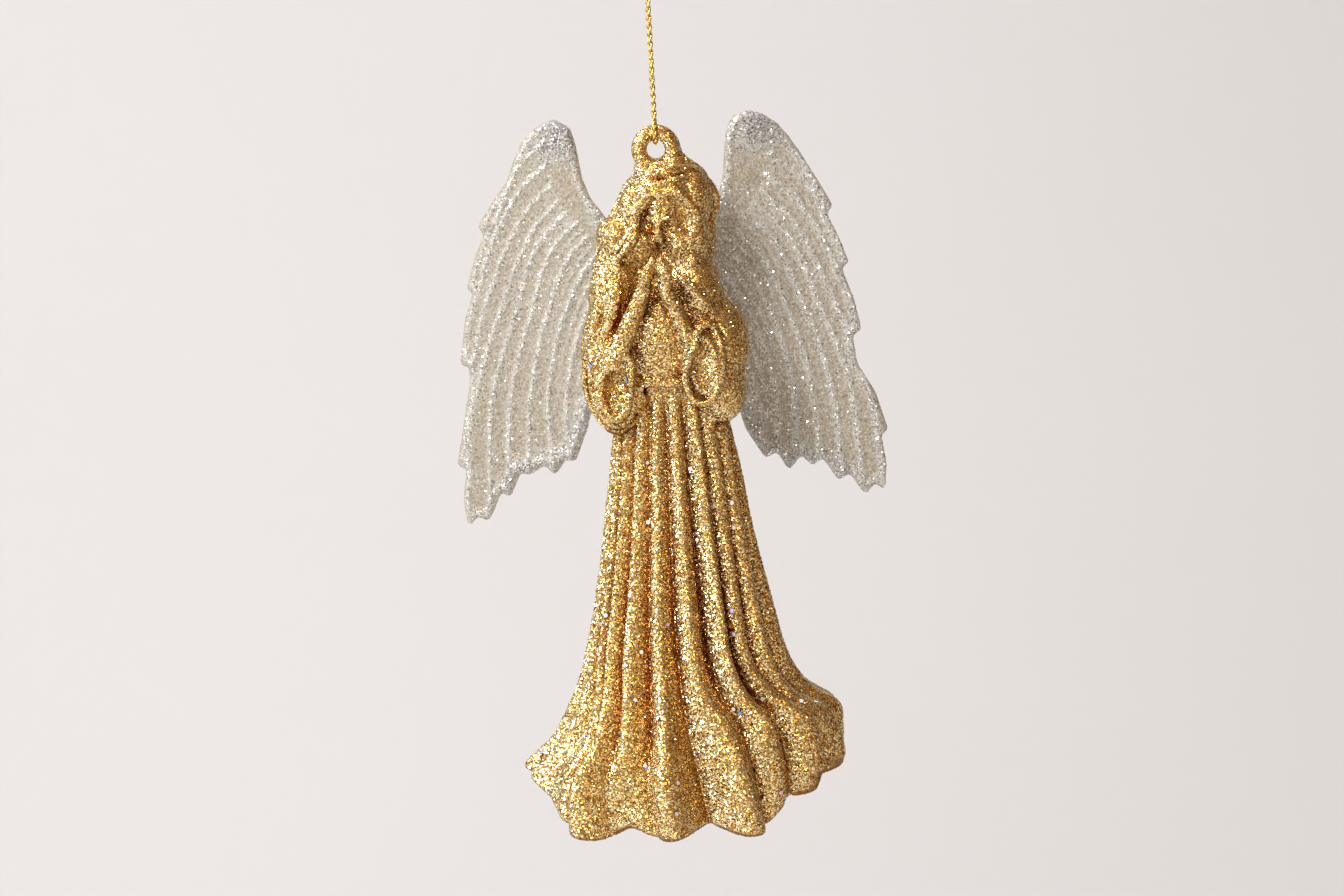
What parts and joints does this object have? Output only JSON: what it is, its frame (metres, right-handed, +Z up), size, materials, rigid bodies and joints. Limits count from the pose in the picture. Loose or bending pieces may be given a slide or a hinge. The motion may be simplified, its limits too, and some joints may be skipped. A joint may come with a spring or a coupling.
{
  "type": "hanging angel ornament",
  "caption": "Hollow glittered angel figure with clear feathered wings, hung by a twisted thread through its moulded eye.",
  "frame": {"origin": "inside of the hanging loop's top, where a hook or twig carries the ornament", "axes": "+Z up along the cord; the figure faces -Y; its left and right wings point to -X and +X"},
  "size_m": [0.076, 0.0411, 0.1714],
  "materials": {
    "gold_glitter": "dense gold glitter coat over moulded plastic",
    "wing_glitter": "translucent ivory plastic with silver-white glitter",
    "gold_thread": "metallised gold thread, twisted"
  },
  "bodies": {
    "hanger": {"hanging_loop": "gold_thread", "cord_knot": "gold_thread"},
    "cord": {"hanging_cord": "gold_thread"},
    "eye_loop": {"cord_eye_loop": "gold_thread"},
    "figure": {"figure_front_shell": "gold_glitter", "figure_back_shell": "gold_glitter", "left_wing": "wing_glitter", "right_wing": "wing_glitter"}
  },
  "joints": [
    {"name": "cord_twist", "type": "hinge", "parent": "hanger", "child": "cord", "pos_m": [0, 0, -0.0172], "axis": [0, 0, 1], "continuous": true},
    {"name": "fore_aft_swing", "type": "hinge", "parent": "cord", "child": "eye_loop", "pos_m": [0, 0, -0.0487], "axis": [1, 0, 0], "range_deg": [-60, 60]},
    {"name": "side_swing", "type": "hinge", "parent": "eye_loop", "child": "figure", "pos_m": [0, 0, -0.0535], "axis": [0, 1, 0], "range_deg": [-60, 60]}
  ]
}
